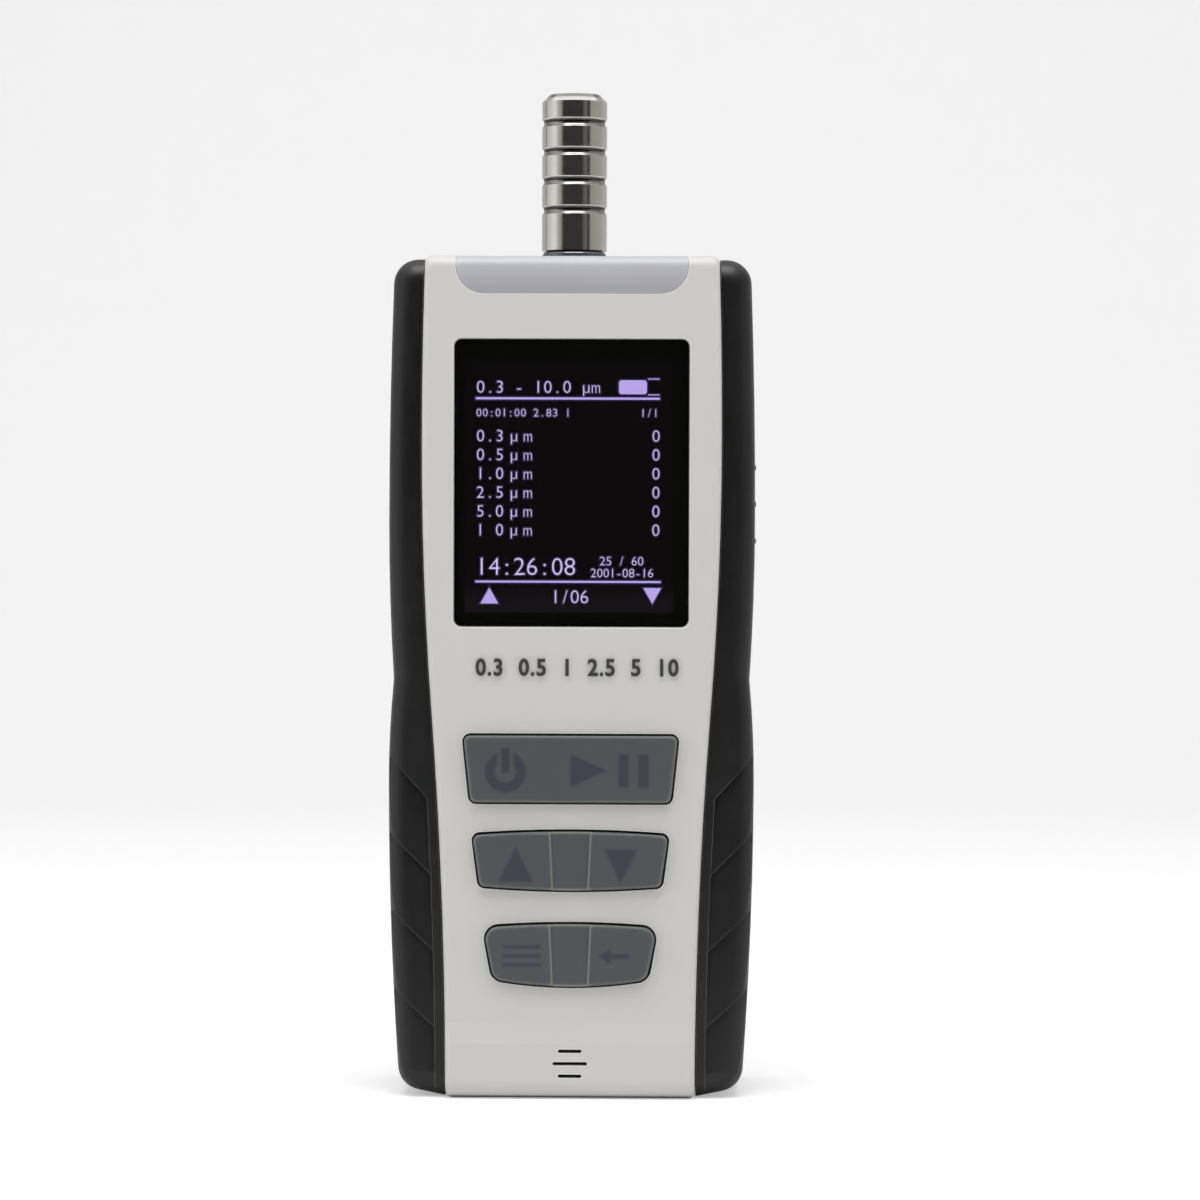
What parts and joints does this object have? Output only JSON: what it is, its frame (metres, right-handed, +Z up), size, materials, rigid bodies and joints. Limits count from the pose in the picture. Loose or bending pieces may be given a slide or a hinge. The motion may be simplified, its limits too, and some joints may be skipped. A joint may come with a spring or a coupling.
{
  "type": "airborne particle counter",
  "caption": "Handheld airborne particle counter with a steel sampling inlet, dark display, three grey keys and ribbed rubber side grips.",
  "frame": {"origin": "middle of the base, on the surface it stands on", "axes": "+Z up along the inlet, -Y out of the front face, +X to the right seen from the front"},
  "size_m": [0.084, 0.048, 0.2296],
  "materials": {
    "shell": "satin",
    "grip": "matte",
    "insert": "satin",
    "lens": "gloss",
    "gasket": "matte",
    "display_glass": "gloss",
    "key": "satin",
    "keypad": "matte",
    "circuit": "satin",
    "steel": "polished",
    "seal": "matte",
    "plated_steel": "satin",
    "fastener": "satin",
    "brass": "satin",
    "alloy": "satin",
    "hose": "satin",
    "pump_plastic": "satin",
    "battery": "gloss"
  },
  "bodies": {
    "casing": {"front_housing": "shell", "rear_housing": "shell", "battery_door": "shell", "left_grip": "grip", "right_grip": "grip", "top_insert": "insert", "display_lens": "lens", "display_gasket": "gasket", "lcd_panel": "display_glass", "keypad_mat": "keypad", "main_board": "circuit", "detector_board": "circuit", "inlet_probe": "steel", "inlet_o_ring": "seal", "lcd_frame": "plated_steel", "usb_port": "plated_steel", "speaker": "plated_steel", "pump_motor": "plated_steel", "housing_screws": "fastener", "board_screws": "fastener", "sensor_screws": "fastener", "door_screws": "fastener", "tripod_insert": "brass", "laser_module": "brass", "inlet_fitting": "brass", "optical_block": "alloy", "sample_hose": "hose", "pump_hose": "hose", "exhaust_hose": "hose", "pump_head": "pump_plastic", "exhaust_filter": "pump_plastic", "battery_pack": "battery"},
    "run_key": {"run_key": "key"},
    "arrow_key": {"arrow_key": "key"},
    "menu_key": {"menu_key": "key"}
  },
  "joints": [
    {"name": "run_key_press", "type": "slide", "parent": "casing", "child": "run_key", "axis": [0, 1, 0], "range_m": [0, 0.0008], "stiffness_N_per_m": 1500},
    {"name": "arrow_key_rock", "type": "hinge", "parent": "casing", "child": "arrow_key", "pos_m": [0, -0.0169, 0.05435], "axis": [0, 0, 1], "range_deg": [-2.5, 2.5], "stiffness_Nm_per_rad": 0.6},
    {"name": "menu_key_rock", "type": "hinge", "parent": "casing", "child": "menu_key", "pos_m": [0, -0.0169, 0.0333], "axis": [0, 0, 1], "range_deg": [-2.5, 2.5], "stiffness_Nm_per_rad": 0.6}
  ]
}
